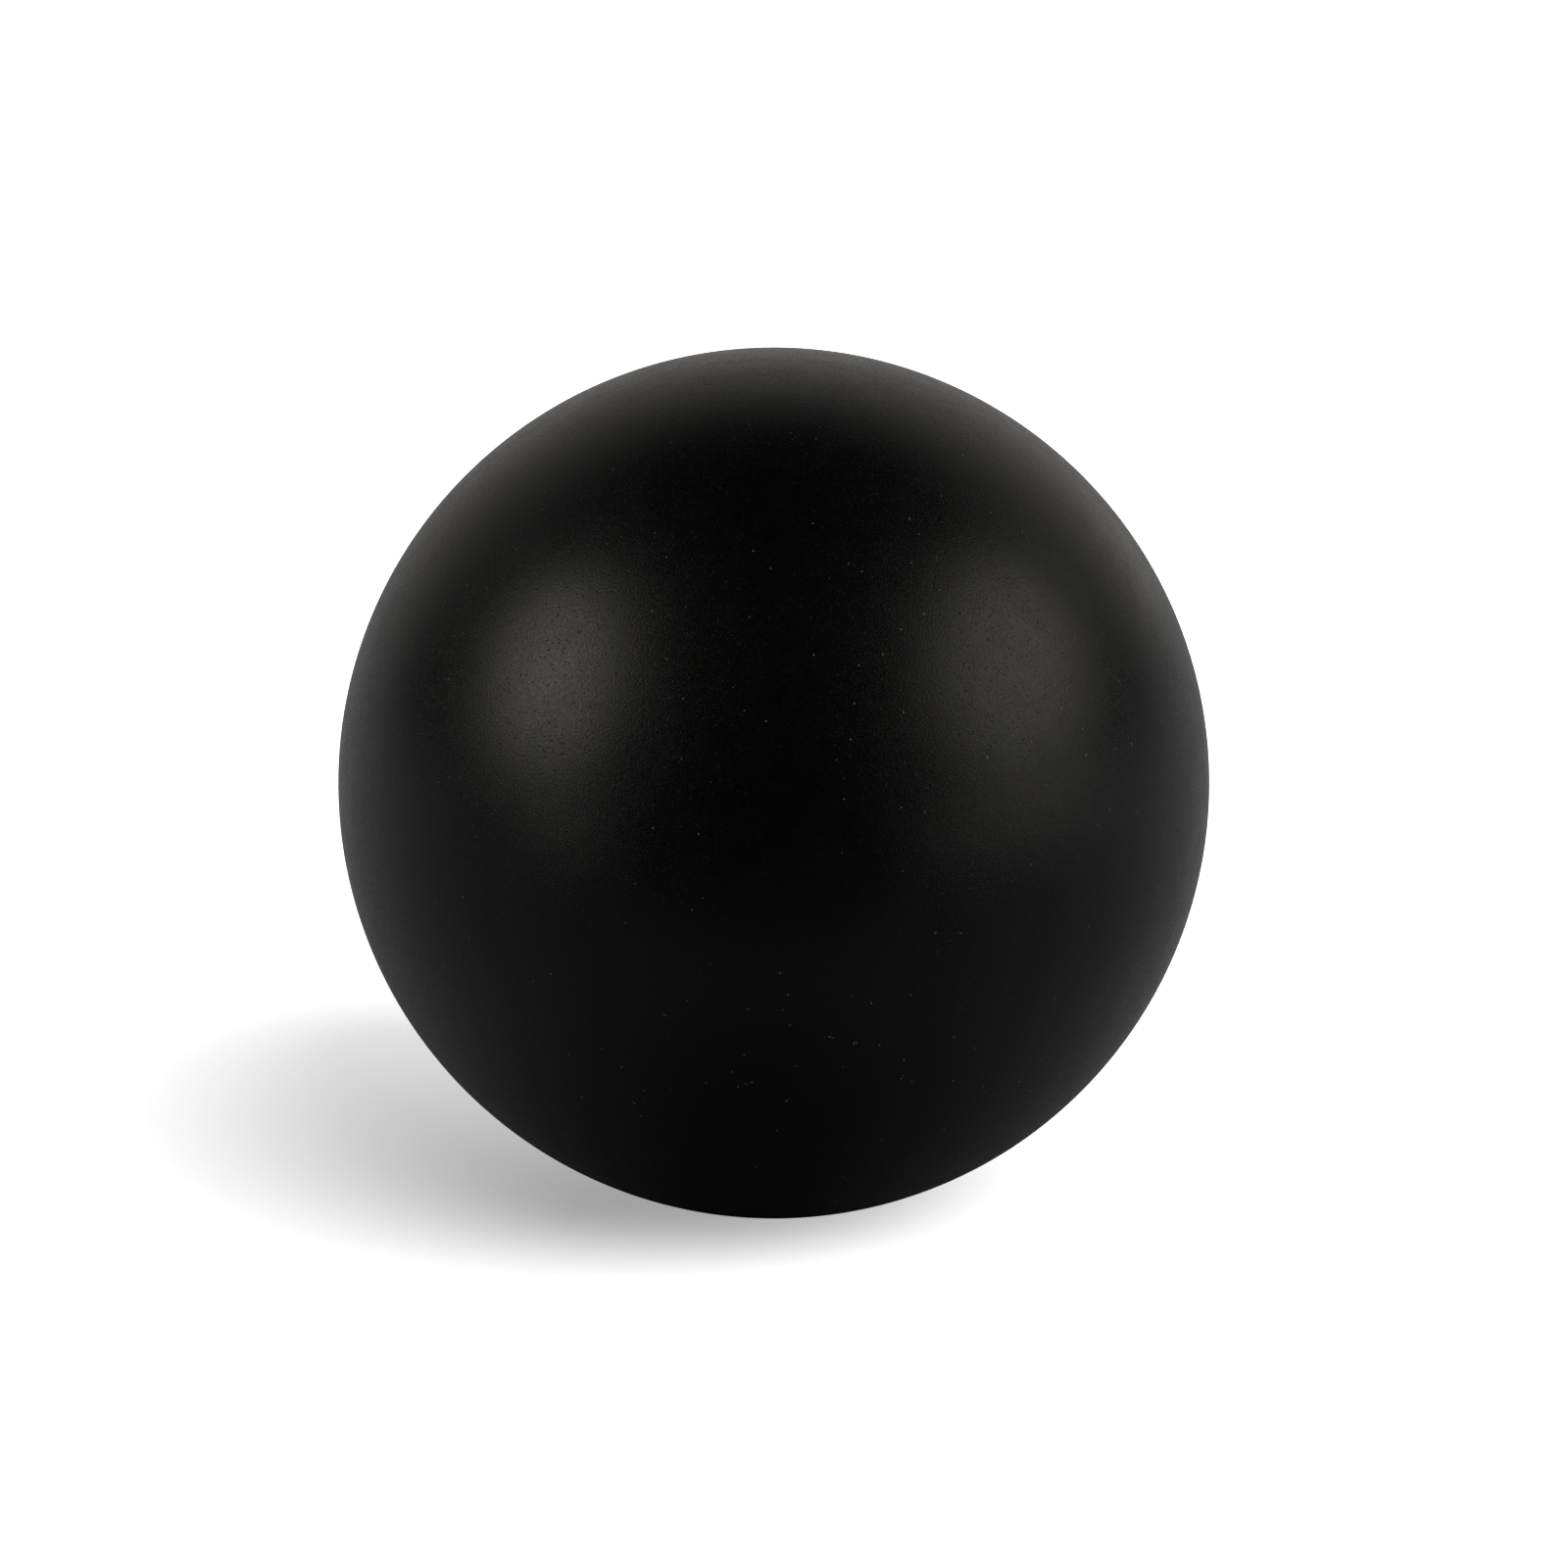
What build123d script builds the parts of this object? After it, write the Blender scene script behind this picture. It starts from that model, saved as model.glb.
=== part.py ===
from build123d import *
import math
import os

# Squash ball: two moulded rubber cups, buffed at the rim and cemented into a sealed hollow sphere.
# Millimetres. The origin is the centre of the ball and +Z is up.
# +Y is the axis that both cups turn about, so the seam stands upright, in the XZ plane.

# The ball and its wall
BALL_DIAMETER = 40.0
SHELL_WALL = 5.0

# The cement seam. The rims are buffed flat, and their inner corners are broken at 45 degrees.
CEMENT_FILM = 0.2
RIM_BREAK = 0.4

# The cement that squeezes into the cavity: how far it laps the wall past the broken corner,
# and how far it stands up from the wall in the middle.
BEAD_LAP = 0.4
BEAD_HEIGHT = 0.5

outer_radius = BALL_DIAMETER / 2
cavity_radius = outer_radius - SHELL_WALL

# Distances from the seam plane
rim_level = CEMENT_FILM / 2
break_level = rim_level + RIM_BREAK
bead_level = break_level + BEAD_LAP


def on_sphere(radius, level):
    """The point of a sphere's half section that lies at this level from the seam plane."""
    return Vector(math.sqrt(radius**2 - level**2), level)


def sphere_arc(radius, low_level, high_level):
    """The arc of a sphere's half section between two levels."""
    low_angle = math.degrees(math.asin(low_level / radius))
    high_angle = math.degrees(math.asin(high_level / radius))
    return CenterArc((0, 0), radius, low_angle, high_angle - low_angle)


# Corners of the rim, which a cup and the cement share
rim_outside = on_sphere(outer_radius, rim_level)
rim_inside = on_sphere(cavity_radius, rim_level) + Vector(RIM_BREAK, 0)
break_top = on_sphere(cavity_radius, break_level)


def half_shell():
    """One moulded cup: outer skin, flat buffed rim, broken inner corner and cavity wall."""
    with BuildPart() as cup:
        with BuildSketch(Plane.XY):
            with BuildLine():
                sphere_arc(outer_radius, rim_level, outer_radius)
                Polyline(rim_outside, rim_inside, break_top)
                sphere_arc(cavity_radius, break_level, cavity_radius)
                Line((0, cavity_radius), (0, outer_radius))
            make_face()
        revolve(axis=Axis.Y)
    return cup.part


def seam_ring():
    """The cured cement: a film between the rims, wedges at the broken corners, and the inner bead."""
    crown = Vector(cavity_radius - BEAD_HEIGHT, 0)
    bead_edge = on_sphere(cavity_radius, bead_level)
    with BuildPart() as ring:
        with BuildSketch(Plane.XY):
            with BuildLine():
                Polyline(rim_outside, rim_inside, break_top)
                sphere_arc(cavity_radius, break_level, bead_level)
                mirror(about=Plane.XZ)
                sphere_arc(outer_radius, -rim_level, rim_level)
                ThreePointArc(bead_edge, crown, Vector(bead_edge.X, -bead_edge.Y))
            make_face()
        revolve(axis=Axis.Y)
    return ring.part


# Both cups come out of the same mould: the front one is the back one turned half round.
back_half_shell = half_shell()
front_half_shell = Rot(0, 0, 180) * back_half_shell
seam_cement = seam_ring()

os.makedirs("parts", exist_ok=True)
export_step(front_half_shell, "parts/front_half_shell.step")
export_step(back_half_shell, "parts/back_half_shell.step")
export_step(seam_cement, "parts/seam_cement.step")
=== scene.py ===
import math

import bmesh
import bpy
from mathutils import Matrix, Quaternion, Vector


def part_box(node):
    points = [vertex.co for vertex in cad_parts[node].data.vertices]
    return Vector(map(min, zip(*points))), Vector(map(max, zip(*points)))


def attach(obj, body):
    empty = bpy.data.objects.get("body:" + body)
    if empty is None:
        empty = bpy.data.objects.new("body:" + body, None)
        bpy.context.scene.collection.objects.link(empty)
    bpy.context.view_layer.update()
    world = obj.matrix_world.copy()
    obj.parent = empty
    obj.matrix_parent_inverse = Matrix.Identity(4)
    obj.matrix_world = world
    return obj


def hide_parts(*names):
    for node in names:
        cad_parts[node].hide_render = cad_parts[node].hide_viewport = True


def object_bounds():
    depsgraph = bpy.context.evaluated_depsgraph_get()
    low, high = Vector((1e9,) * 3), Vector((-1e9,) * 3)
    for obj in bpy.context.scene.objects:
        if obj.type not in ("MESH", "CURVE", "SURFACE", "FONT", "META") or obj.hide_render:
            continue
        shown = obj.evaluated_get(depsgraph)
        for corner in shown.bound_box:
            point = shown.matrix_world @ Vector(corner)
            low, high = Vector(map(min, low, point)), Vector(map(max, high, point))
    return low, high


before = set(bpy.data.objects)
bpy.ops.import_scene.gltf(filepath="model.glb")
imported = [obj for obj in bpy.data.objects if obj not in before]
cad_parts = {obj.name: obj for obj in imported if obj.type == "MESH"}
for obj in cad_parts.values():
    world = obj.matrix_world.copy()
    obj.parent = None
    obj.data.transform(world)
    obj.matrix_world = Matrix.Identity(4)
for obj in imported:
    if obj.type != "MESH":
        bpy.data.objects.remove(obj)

# The CAD box; the ball's radius is read from it
cad_low, cad_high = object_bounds()

# Squash ball: two buffed rubber half shells, cemented at a seam that stands upright in the XZ plane.
# Metres. The origin is the centre of the ball.
MM = 0.001

# Sizes of the solids
BALL_RADIUS = cad_high.x
RIM_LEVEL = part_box("back_half_shell")[0].y
BEAD_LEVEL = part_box("seam_cement")[1].y
SHELL_WALL = 5.0 * MM
RIM_BREAK = 0.4 * MM
BEAD_HEIGHT = 0.5 * MM
CAVITY_RADIUS = BALL_RADIUS - SHELL_WALL
BREAK_LEVEL = RIM_LEVEL + RIM_BREAK

# The buffed seam: the shells' outer corners are worn round, and the cement lies a little below the skin
SEAM_ROUND = 0.003 * MM
SEAM_SINK = 0.001 * MM

# Fineness of the meshes
SKIN_ROWS = 96
RING_STEPS = 384
BEAD_STEPS = 12
CORNER_STEPS = 3
SHARP_ANGLE = math.radians(10)

# The photograph's frame, in its own pixels
FRAME_PIXELS = 1600
BALL_PIXEL = (789.6, 798.9)
BALL_PIXEL_RADIUS = 444.6

# Camera
VIEW_ELEVATION = math.radians(16)
LENS_MM = 300
SENSOR_MM = 36
CLIP_START = 10 * MM


def radius_at(sphere_radius, level):
    """Distance from the ball's Y axis to a sphere, at this level from the seam plane."""
    return math.sqrt(sphere_radius**2 - level**2)


# Mesh pieces

def quad_ball(radius):
    """A closed ball of four-sided faces with no poles: a divided cube, pushed out to the sphere."""
    ball = bmesh.new()
    bmesh.ops.create_cube(ball, size=2.0)
    bmesh.ops.subdivide_edges(ball, edges=ball.edges[:], cuts=SKIN_ROWS - 1, use_grid_fill=True)
    for vert in ball.verts:
        even_angles = Vector(math.tan(c * math.pi / 4) for c in vert.co)
        vert.co = even_angles.normalized() * radius
    return ball


def cut_cup(radius, level):
    """The part of a ball beyond this level of the Y axis, with its open edge on the sphere."""
    cup = quad_ball(radius)
    everything = cup.verts[:] + cup.edges[:] + cup.faces[:]
    bmesh.ops.bisect_plane(cup, geom=everything, plane_co=(0, level, 0), plane_no=(0, 1, 0), clear_inner=True)
    edge_radius = radius_at(radius, level)
    for vert in {v for e in cup.edges if e.is_boundary for v in e.verts}:
        flat = Vector((vert.co.x, 0, vert.co.z)).normalized() * edge_radius
        vert.co = flat + Vector((0, level, 0))
    return cup


def half_shell(name, turn):
    """One moulded cup: skin with a worn rim corner, flat buffed rim, broken inner corner and cavity wall."""
    cup = cut_cup(BALL_RADIUS, RIM_LEVEL)
    rim_edges = [e for e in cup.edges if e.is_boundary]

    # the flat rim, drawn in to where the inner corner is broken
    land = bmesh.ops.extrude_edge_only(cup, edges=rim_edges)["geom"]
    land_verts = [g for g in land if isinstance(g, bmesh.types.BMVert)]
    inside = radius_at(CAVITY_RADIUS, RIM_LEVEL) + RIM_BREAK
    shrink = inside / radius_at(BALL_RADIUS, RIM_LEVEL)
    bmesh.ops.scale(cup, vec=(shrink, 1, shrink), verts=land_verts)

    # the cavity wall, joined to the rim by the broken corner
    cavity = cut_cup(CAVITY_RADIUS, BREAK_LEVEL)
    wall = bpy.data.meshes.new("cavity_wall")
    cavity.to_mesh(wall)
    cavity.free()
    cup.from_mesh(wall)
    bpy.data.meshes.remove(wall)
    bmesh.ops.bridge_loops(cup, edges=[e for e in cup.edges if e.is_boundary])
    bmesh.ops.recalc_face_normals(cup, faces=cup.faces[:])

    corner = [e for e in rim_edges if e.is_valid]
    bmesh.ops.bevel(
        cup, geom=corner, offset=SEAM_ROUND, affect="EDGES", segments=CORNER_STEPS, profile=0.5, material=-1
    )
    bmesh.ops.rotate(cup, matrix=Matrix.Rotation(turn, 3, "Z"), verts=cup.verts[:])
    return finished_piece(name, cup)


def cement_ring(name):
    """The cured cement: film between the rims, wedges at the broken corners and the bead in the cavity."""
    film_edge = radius_at(BALL_RADIUS, RIM_LEVEL) - SEAM_ROUND
    bead_edge = radius_at(CAVITY_RADIUS, BEAD_LEVEL)
    half_section = [
        (film_edge, RIM_LEVEL),
        (radius_at(CAVITY_RADIUS, RIM_LEVEL) + RIM_BREAK, RIM_LEVEL),
        (radius_at(CAVITY_RADIUS, BREAK_LEVEL), BREAK_LEVEL),
    ]
    # the bead's crown: a circle through both of its edges and its top
    rise = bead_edge - (CAVITY_RADIUS - BEAD_HEIGHT)
    crown_radius = (BEAD_LEVEL**2 + rise**2) / (2 * rise)
    crown_centre = CAVITY_RADIUS - BEAD_HEIGHT + crown_radius
    crown_angle = math.asin(BEAD_LEVEL / crown_radius)
    crown = []
    for step in range(BEAD_STEPS + 1):
        angle = crown_angle * (1 - 2 * step / BEAD_STEPS)
        crown.append((crown_centre - crown_radius * math.cos(angle), crown_radius * math.sin(angle)))
    far_half = [(radius, -level) for radius, level in reversed(half_section)]
    groove = [(film_edge - SEAM_SINK, 0)]

    ring = bmesh.new()
    points = half_section + crown + far_half + groove
    verts = [ring.verts.new((radius, level, 0)) for radius, level in points]
    for start, end in zip(verts, verts[1:] + verts[:1]):
        ring.edges.new((start, end))
    bmesh.ops.spin(
        ring,
        geom=ring.verts[:] + ring.edges[:],
        cent=(0, 0, 0),
        axis=(0, 1, 0),
        angle=2 * math.pi,
        steps=RING_STEPS,
        use_merge=True,
    )
    bmesh.ops.recalc_face_normals(ring, faces=ring.faces[:])
    return finished_piece(name, ring)


def finished_piece(name, shape):
    """A scene object from a finished bmesh, smooth apart from its real corners."""
    for face in shape.faces:
        face.smooth = True
    mesh = bpy.data.meshes.new(name)
    shape.to_mesh(mesh)
    shape.free()
    mesh.set_sharp_from_angle(angle=SHARP_ANGLE)
    piece = bpy.data.objects.new(name, mesh)
    bpy.context.scene.collection.objects.link(piece)
    return piece


# Materials

# Colours: the rubber's darkest and lightest black, and the dust on it
RUBBER_BLACKS = ((0.0001, 0.0001, 0.0001, 1), (0.0004, 0.0004, 0.0004, 1))
DUST_COLOUR = (0.045, 0.044, 0.042, 1)

# Marks of the buffing: the size of each noise, and the length, width and turns of the strokes
GRAIN_SIZE = 0.09 * MM
MOTTLE_SIZE = 1.4 * MM
CLOUD_SIZE = 9.0 * MM
STROKE_SIZE = (0.3 * MM, 0.07 * MM)
STROKE_TURNS = ((0.3, 0.5, 0.2), (1.2, 0.4, 2.0), (2.1, 1.5, 0.9), (0.7, 2.4, 1.4))

# Holes and dust: how far apart they are strewn, and the largest radius. The core is the even share of it
PINHOLES = (0.28 * MM, 0.055 * MM)
PITS = (0.9 * MM, 0.08 * MM)
FAINT_DUST = (0.42 * MM, 0.04 * MM)
BRIGHT_DUST = (0.95 * MM, 0.055 * MM)
SPOT_CORE = 0.5

# Hairs of lint: spots in long cells of this length and width, with a radius as a share of the cell
LINT_CELL = (1.6 * MM, 0.4 * MM)
LINT_RADIUS = 0.11
LINT_SHARE = 0.03

# How much of the dust's colour each kind shows
FAINT_DUST_COVER = 0.12
BRIGHT_DUST_COVER = 0.8
LINT_COVER = 0.7

# The stretch of a noise's values that is put to use
GRAIN_SPAN = (0.25, 0.75)
MIDDLE_SPAN = (0.3, 0.7)

# Gloss: the roughness of the grain's hollows and tops, and what the other marks add to it
RUBBER_SPECULAR = 0.25
GRAIN_ROUGHNESS = (0.45, 0.30)
MOTTLE_ROUGHNESS = (-0.015, 0.015)
CLOUD_ROUGHNESS = (-0.01, 0.01)
PINHOLE_ROUGHNESS = 0.12
PIT_ROUGHNESS = 0.14

# Relief: the grain's height, and the other marks as shares of it
GRAIN_HEIGHT = 0.0085 * MM
STROKE_HEIGHT = 0.2
PINHOLE_HEIGHT = -0.7
PIT_HEIGHT = -1.0

# Cured cement
DRAG_SIZE = 0.15 * MM
CEMENT_ROUGHNESS = (0.33, 0.40)
CEMENT_HEIGHT = 0.011 * MM


def add_node(tree, kind, inputs=None, **settings):
    """A shader node. An input is a value, or another node's output to join to it."""
    node = tree.nodes.new(kind)
    for name, value in settings.items():
        setattr(node, name, value)
    for name, value in (inputs or {}).items():
        if isinstance(value, bpy.types.NodeSocket):
            tree.links.new(value, node.inputs[name])
        else:
            node.inputs[name].default_value = value
    return node


def math_node(tree, operation, first, second=0.0, clamp=False):
    node = add_node(tree, "ShaderNodeMath", {0: first, 1: second}, operation=operation, use_clamp=clamp)
    return node.outputs[0]


def noise(tree, place, size, detail=2.0, roughness=0.5):
    """Cloudy noise whose blots are about this size across, in metres."""
    inputs = {"Vector": place, "Scale": 1 / size, "Detail": detail, "Roughness": roughness}
    return add_node(tree, "ShaderNodeTexNoise", inputs).outputs["Fac"]


def ramp(tree, value, low, high, to_low=0.0, to_high=1.0):
    """The value's stretch from low to high, eased onto another stretch."""
    inputs = {"Value": value, "From Min": low, "From Max": high, "To Min": to_low, "To Max": to_high}
    node = add_node(tree, "ShaderNodeMapRange", inputs, interpolation_type="SMOOTHSTEP", clamp=True)
    return node.outputs["Result"]


def spots(tree, place, cell, radius, share=1.0):
    """Round spots, up to this radius, strewn about one cell apart. Only a share of the cells has one."""
    texture = add_node(tree, "ShaderNodeTexVoronoi", {"Vector": place, "Scale": 1 / cell})
    reach = radius / cell
    disc = ramp(tree, texture.outputs["Distance"], reach * SPOT_CORE, reach, 1.0, 0.0)
    if share == 1.0:
        return disc
    pick = add_node(tree, "ShaderNodeSeparateColor", {"Color": texture.outputs["Color"]})
    chosen = math_node(tree, "LESS_THAN", pick.outputs["Red"], share)
    return math_node(tree, "MULTIPLY", disc, chosen)


def stretched(tree, place, turn, length, width):
    """Turned coordinates in which a stroke of this length and width is one unit each way."""
    inputs = {"Vector": place, "Rotation": turn, "Scale": (length, width, width)}
    return add_node(tree, "ShaderNodeMapping", inputs, vector_type="TEXTURE").outputs["Vector"]


def total(tree, values):
    sum_so_far = values[0]
    for value in values[1:]:
        sum_so_far = math_node(tree, "ADD", sum_so_far, value)
    return sum_so_far


def new_material(name):
    material = bpy.data.materials.new(name)
    material.use_nodes = True
    tree = material.node_tree
    return material, tree, tree.nodes["Principled BSDF"]


def blend(tree, factor, low, high):
    """A colour between two others. Each is a colour, or another node's output."""
    node = add_node(tree, "ShaderNodeMix", {"Factor": factor, "A": low, "B": high}, data_type="RGBA")
    return node.outputs["Result"]


def scaled(tree, value, factor):
    return math_node(tree, "MULTIPLY", value, factor)


def buffed_rubber():
    """Black rubber after buffing: fine grain, short strokes, pinholes, pits, and a little dust and lint."""
    material, tree, shader = new_material("buffed_rubber")
    place = add_node(tree, "ShaderNodeTexCoord").outputs["Object"]

    grain = noise(tree, place, GRAIN_SIZE, detail=1.5, roughness=0.6)
    mottle = noise(tree, place, MOTTLE_SIZE, detail=3.0, roughness=0.6)
    cloud = noise(tree, place, CLOUD_SIZE)
    strokes = total(tree, [
        noise(tree, stretched(tree, place, turn, *STROKE_SIZE), 1.0, detail=1.0)
        for turn in STROKE_TURNS
    ])
    pinholes = spots(tree, place, *PINHOLES)
    pits = spots(tree, place, *PITS)

    # colour
    faint_dust = spots(tree, place, *FAINT_DUST)
    bright_dust = spots(tree, place, *BRIGHT_DUST)
    lint = total(tree, [
        spots(tree, stretched(tree, place, turn, *LINT_CELL), 1.0, LINT_RADIUS, share=LINT_SHARE)
        for turn in STROKE_TURNS
    ])
    specks = total(tree, [
        scaled(tree, faint_dust, FAINT_DUST_COVER),
        scaled(tree, bright_dust, BRIGHT_DUST_COVER),
        scaled(tree, lint, LINT_COVER),
    ])
    black = blend(tree, mottle, *RUBBER_BLACKS)
    dusted = blend(tree, math_node(tree, "MINIMUM", specks, 1.0), black, DUST_COLOUR)
    tree.links.new(dusted, shader.inputs["Base Color"])

    # gloss
    roughness = total(tree, [
        ramp(tree, grain, *GRAIN_SPAN, *GRAIN_ROUGHNESS),
        ramp(tree, mottle, *MIDDLE_SPAN, *MOTTLE_ROUGHNESS),
        ramp(tree, cloud, *MIDDLE_SPAN, *CLOUD_ROUGHNESS),
        scaled(tree, pinholes, PINHOLE_ROUGHNESS),
        scaled(tree, pits, PIT_ROUGHNESS),
    ])
    tree.links.new(roughness, shader.inputs["Roughness"])
    shader.inputs["Specular IOR Level"].default_value = RUBBER_SPECULAR

    # relief
    height = total(tree, [
        grain,
        scaled(tree, strokes, STROKE_HEIGHT),
        scaled(tree, pinholes, PINHOLE_HEIGHT),
        scaled(tree, pits, PIT_HEIGHT),
    ])
    relief = add_node(tree, "ShaderNodeBump", {"Height": height, "Distance": GRAIN_HEIGHT})
    tree.links.new(relief.outputs["Normal"], shader.inputs["Normal"])
    return material


def cured_cement():
    """Rubber solution after curing and buffing: black, without the moulded rubber's pinholes and pits."""
    material, tree, shader = new_material("cured_cement")
    place = add_node(tree, "ShaderNodeTexCoord").outputs["Object"]
    drag = noise(tree, place, DRAG_SIZE)
    tree.links.new(blend(tree, drag, *RUBBER_BLACKS), shader.inputs["Base Color"])
    tree.links.new(ramp(tree, drag, *MIDDLE_SPAN, *CEMENT_ROUGHNESS), shader.inputs["Roughness"])
    shader.inputs["Specular IOR Level"].default_value = RUBBER_SPECULAR
    relief = add_node(tree, "ShaderNodeBump", {"Height": drag, "Distance": CEMENT_HEIGHT})
    tree.links.new(relief.outputs["Normal"], shader.inputs["Normal"])
    return material


# Studio

# The key, and the fill that reaches everything else
KEY_ELEVATION = math.radians(34)
KEY_BEARING = math.radians(-52)
KEY_WIDTH = math.radians(59)
KEY_STRENGTH = 4.2
FILL = 0.08
BACKDROP_TINT = (1.0, 0.97, 0.93, 1)

# The floor glows white for the camera, fully in the open and less towards the shadow's core: this fade paints
# shadow around the ball on top of the key's real shadow
PAINTED_SHADOW_CORE = Vector((-9.0 * MM, -2.5 * MM, -BALL_RADIUS))
FLOOR_SIZE = 8.0
FLOOR_COLOUR = (0.9, 0.9, 0.9, 1)
GLOW_IN_PAINTED_SHADOW = 0.0
LIFT_IN_THE_OPEN = 1.0
PAINTED_SHADOW_FADE = (-40.0 * MM, 70.0 * MM)
LIFT_IN_REFLECTIONS = 1.0

# Soft lights that show in the gloss: angles in degrees, as the ball sees them
SOFTBOX_DISTANCE = 0.6
SOFTBOX_COLOUR = (1.0, 0.97, 0.92)
SOFTBOXES = {
    "left_softbox": dict(elevation=30, bearing=-162, width=28, height=40, roll=36, radiance=4.85),
    "right_softbox": dict(elevation=29, bearing=-10.5, width=37, height=50, roll=-76, radiance=2.65),
    "left_reflector": dict(elevation=-1, bearing=-145, width=20, height=6, roll=0, radiance=4.1),
    "right_reflector": dict(elevation=-2, bearing=-24, width=59, height=9, roll=0, radiance=3.4),
    "rear_reflector": dict(elevation=2, bearing=63, width=11, height=8, roll=0, radiance=0.5),
}

# A dome of black cloth. It closes towards each side over a stretch of cosines. Its front axis leans left
FLAG_RADIUS = 2.0
FLAG_TURN = Vector((-0.16, 0, 0))
FLAG_FRONT = (-1.8, 0.4)
FLAG_TOP = (0.58, 0.78)
FLAG_LEFT = (0.68, 0.93)
FLAG_RIGHT = (0.65, 0.9)

# Black cloth on the floor, seen only in the gloss, with a black spot around the contact that is painted
# shadow
FLOOR_FLAG_GAP = 0.02 * MM
PAINTED_SHADOW_SPOT = Vector((-1.0 * MM, 1.0 * MM, -BALL_RADIUS))
PAINTED_SHADOW_SPOT_REACH = Vector((33.0 * MM, 59.0 * MM, 1))
FRONT_CLOTH = (93.0 * MM, -160.0 * MM)
BACK_OPEN = 0.25


def direction_to(elevation, bearing):
    """Unit vector from the ball. A bearing of 0 is to the right, and -90 degrees is to the front."""
    flat = math.cos(elevation)
    return Vector((flat * math.cos(bearing), flat * math.sin(bearing), math.sin(elevation)))


def distance_from(tree, spot, reach=(1, 1, 1)):
    """Distance over the floor from this point of it, each way as a share of the reach."""
    place = add_node(tree, "ShaderNodeTexCoord").outputs["Object"]
    inputs = {"Vector": place, "Location": spot, "Scale": reach}
    from_spot = add_node(tree, "ShaderNodeMapping", inputs, vector_type="TEXTURE").outputs["Vector"]
    return add_node(tree, "ShaderNodeVectorMath", {0: from_spot}, operation="LENGTH").outputs["Value"]


def studio_world():
    """White for the camera and in reflections, and a soft fill for everything else."""
    world = bpy.data.worlds.new("studio")
    bpy.context.scene.world = world
    world.use_nodes = True
    tree = world.node_tree
    background = tree.nodes["Background"]
    path = add_node(tree, "ShaderNodeLightPath").outputs
    tint = blend(tree, path["Is Camera Ray"], BACKDROP_TINT, (1, 1, 1, 1))
    tree.links.new(tint, background.inputs["Color"])
    seen = total(tree, [path["Is Camera Ray"], path["Is Glossy Ray"], path["Is Transmission Ray"]])
    tree.links.new(ramp(tree, seen, 0.0, 1.0, FILL, 1.0), background.inputs["Strength"])


def studio_floor():
    """The white surface under the ball. It glows white where it is seen and keeps the key's shadow; the glow
    fades towards the shadow's core, which is painted shadow.
    """
    shape = bmesh.new()
    bmesh.ops.create_grid(shape, x_segments=1, y_segments=1, size=FLOOR_SIZE / 2)
    bmesh.ops.translate(shape, vec=(0, 0, -BALL_RADIUS), verts=shape.verts[:])
    floor = finished_piece("floor", shape)
    material, tree, shader = new_material("floor_white")
    shader.inputs["Base Color"].default_value = FLOOR_COLOUR
    shader.inputs["Roughness"].default_value = 1.0
    shader.inputs["Specular IOR Level"].default_value = 0.0
    shader.inputs["Emission Color"].default_value = (1, 1, 1, 1)
    path = add_node(tree, "ShaderNodeLightPath").outputs
    reflected = math_node(tree, "ADD", path["Is Glossy Ray"], path["Is Transmission Ray"], clamp=True)
    # painted shadow: the floor's glow for the camera fades out towards a point beside the ball
    away = distance_from(tree, PAINTED_SHADOW_CORE)
    painted_shadow_glow = ramp(tree, away, *PAINTED_SHADOW_FADE, GLOW_IN_PAINTED_SHADOW, LIFT_IN_THE_OPEN)
    lift = total(tree, [
        math_node(tree, "MULTIPLY", painted_shadow_glow, path["Is Camera Ray"]),
        scaled(tree, reflected, LIFT_IN_REFLECTIONS),
    ])
    tree.links.new(lift, shader.inputs["Emission Strength"])
    floor.data.materials.append(material)


def flag_material(name, open_share):
    """Black cloth that lets through this share of the light, from nought to one."""
    material, tree, shader = new_material(name)
    tree.nodes.remove(shader)
    black = add_node(tree, "ShaderNodeEmission", {"Strength": 0.0})
    clear = add_node(tree, "ShaderNodeBsdfTransparent")
    inputs = {0: open_share(tree), 1: black.outputs[0], 2: clear.outputs[0]}
    cloth = add_node(tree, "ShaderNodeMixShader", inputs)
    tree.links.new(cloth.outputs[0], tree.nodes["Material Output"].inputs["Surface"])
    return material


def only_in_reflections(flag):
    flag.visible_camera = False
    flag.visible_diffuse = False
    flag.visible_shadow = False
    flag.visible_transmission = False


def room_flag(towards):
    """Black cloth in front, overhead and at the sides, seen only in the ball's gloss, as in a dark studio."""
    shape = bmesh.new()
    bmesh.ops.create_icosphere(shape, subdivisions=5, radius=FLAG_RADIUS)
    flag = finished_piece("room_flag", shape)

    def open_share(tree):
        place = add_node(tree, "ShaderNodeTexCoord").outputs["Object"]

        def along(axis):
            inputs = {0: place, 1: axis / FLAG_RADIUS}
            return add_node(tree, "ShaderNodeVectorMath", inputs, operation="DOT_PRODUCT").outputs["Value"]

        open_so_far = 1.0
        for axis, feather in (
            ((towards + FLAG_TURN).normalized(), FLAG_FRONT),
            (Vector((0, 0, 1)), FLAG_TOP),
            (Vector((-1, 0, 0)), FLAG_LEFT),
            (Vector((1, 0, 0)), FLAG_RIGHT),
        ):
            side = ramp(tree, along(axis), *feather, 1.0, 0.0)
            open_so_far = math_node(tree, "MULTIPLY", side, open_so_far)
        return open_so_far

    flag.data.materials.append(flag_material("room_cloth", open_share))
    only_in_reflections(flag)


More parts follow.
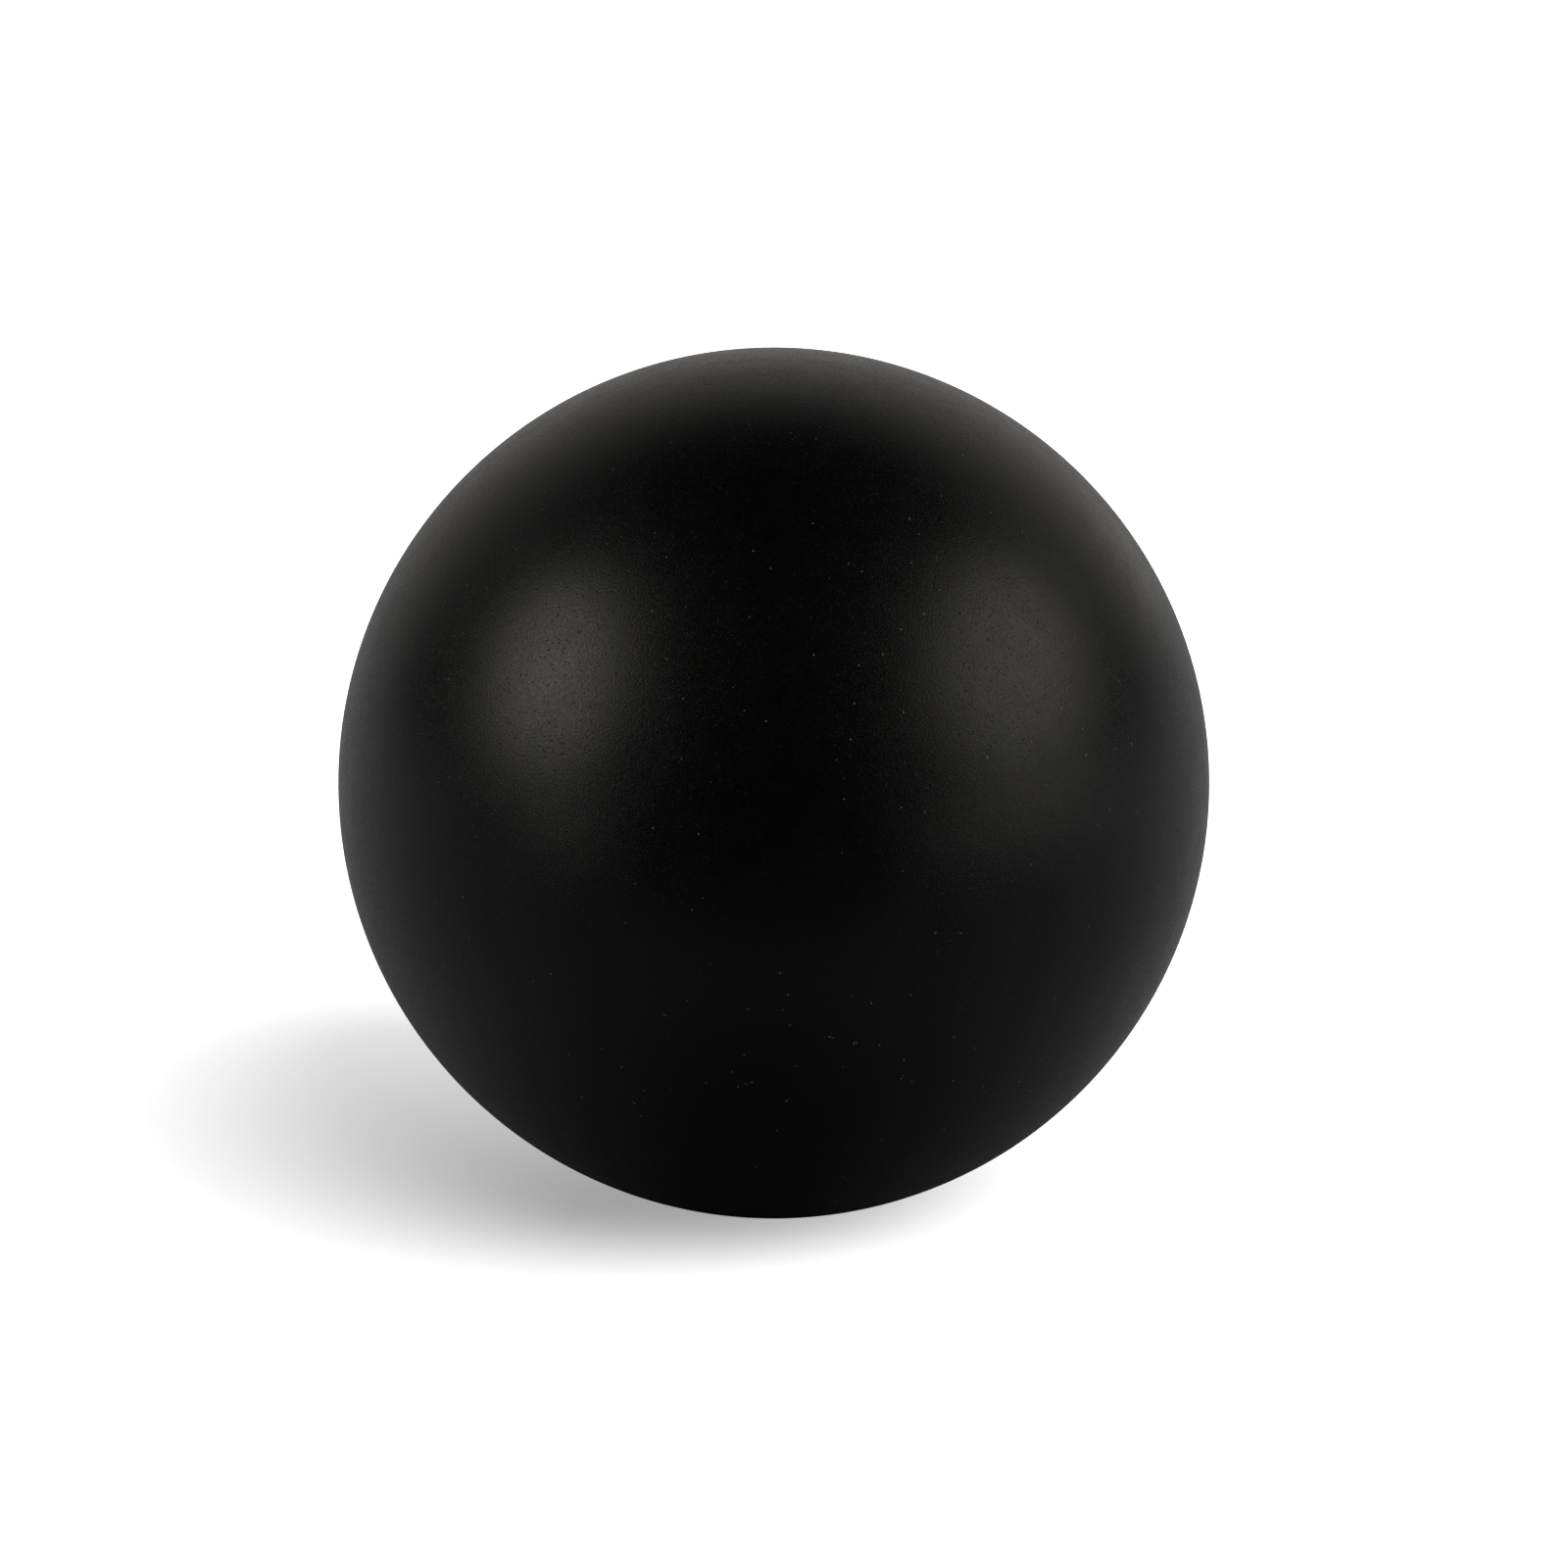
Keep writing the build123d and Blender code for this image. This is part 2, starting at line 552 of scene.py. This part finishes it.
def floor_flag():
    """Black cloth on the floor, seen only in the ball's gloss: a veil to the front, and a feathered black
    spot that paints the shade under the ball into its reflections.
    """
    shape = bmesh.new()
    bmesh.ops.create_grid(shape, x_segments=1, y_segments=1, size=FLOOR_SIZE / 2)
    bmesh.ops.translate(shape, vec=(0, 0, FLOOR_FLAG_GAP - BALL_RADIUS), verts=shape.verts[:])
    flag = finished_piece("floor_flag", shape)

    def open_share(tree):
        place = add_node(tree, "ShaderNodeTexCoord").outputs["Object"]
        depth = add_node(tree, "ShaderNodeSeparateXYZ", {0: place}).outputs["Y"]
        veil = ramp(tree, depth, *FRONT_CLOTH, BACK_OPEN, 0.0)
        # painted shadow: a black spot around and in front of the contact darkens the reflected floor,
        # standing for the shade under the ball
        spot = ramp(tree, distance_from(tree, PAINTED_SHADOW_SPOT, PAINTED_SHADOW_SPOT_REACH), 0.0, 1.0)
        return math_node(tree, "MULTIPLY", veil, spot)

    flag.data.materials.append(flag_material("floor_cloth", open_share))
    only_in_reflections(flag)


def softbox(name, elevation, bearing, width, height, roll, radiance):
    """A soft light that shows in the ball's gloss. Angles are in degrees, as the ball sees it."""
    towards = direction_to(math.radians(elevation), math.radians(bearing))
    light = bpy.data.lights.new(name, "AREA")
    light.shape = "ELLIPSE"
    light.color = SOFTBOX_COLOUR
    light.size = 2 * SOFTBOX_DISTANCE * math.tan(math.radians(width / 2))
    light.size_y = 2 * SOFTBOX_DISTANCE * math.tan(math.radians(height / 2))
    area = math.pi / 4 * light.size * light.size_y
    light.energy = radiance * math.pi * area
    lamp = bpy.data.objects.new(name, light)
    lamp.location = towards * SOFTBOX_DISTANCE
    aim = towards.to_track_quat("Z", "Y") @ Quaternion((0, 0, 1), math.radians(roll))
    lamp.rotation_euler = aim.to_euler()
    lamp.visible_camera = False
    lamp.visible_diffuse = False
    bpy.context.scene.collection.objects.link(lamp)


def key_light():
    """A broad soft key from the front right, which lights the floor and casts the shadow."""
    light = bpy.data.lights.new("key_light", "SUN")
    light.energy = KEY_STRENGTH
    light.angle = KEY_WIDTH
    lamp = bpy.data.objects.new("key_light", light)
    lamp.rotation_euler = direction_to(KEY_ELEVATION, KEY_BEARING).to_track_quat("Z", "Y").to_euler()
    lamp.visible_glossy = False
    bpy.context.scene.collection.objects.link(lamp)


def photo_camera():
    """The photograph's viewpoint. Returns the direction from the ball towards the camera."""
    data = bpy.data.cameras.new("photo_camera")
    data.lens = LENS_MM
    data.sensor_width = SENSOR_MM
    data.clip_start = CLIP_START
    camera = bpy.data.objects.new("photo_camera", data)
    towards = Vector((0, -math.cos(VIEW_ELEVATION), math.sin(VIEW_ELEVATION)))
    right = Vector((1, 0, 0))
    up = towards.cross(right)
    focal_pixels = LENS_MM / SENSOR_MM * FRAME_PIXELS
    distance = BALL_RADIUS / math.sin(math.atan(BALL_PIXEL_RADIUS / focal_pixels))
    metres_per_pixel = distance / focal_pixels
    across = (FRAME_PIXELS / 2 - BALL_PIXEL[0]) * metres_per_pixel
    down = (FRAME_PIXELS / 2 - BALL_PIXEL[1]) * metres_per_pixel
    camera.location = towards * distance + right * across - up * down
    camera.rotation_euler = towards.to_track_quat("Z", "Y").to_euler()
    bpy.context.scene.collection.objects.link(camera)
    bpy.context.scene.camera = camera
    return towards


# The ball

rubber = buffed_rubber()
cement = cured_cement()
for name, node, turn in (
    ("front_rubber_shell", "front_half_shell", math.pi),
    ("back_rubber_shell", "back_half_shell", 0.0),
):
    shell = half_shell(name, turn)
    shell.data.materials.append(rubber)
    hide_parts(node)
    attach(shell, "root")

seam = cement_ring("cement_seam")
seam.data.materials.append(cement)
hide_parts("seam_cement")
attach(seam, "root")

# The studio

towards_camera = photo_camera()
studio_world()
studio_floor()
room_flag(towards_camera)
floor_flag()
key_light()
for softbox_name, facts in SOFTBOXES.items():
    softbox(softbox_name, **facts)

bpy.context.scene.view_settings.view_transform = "Standard"
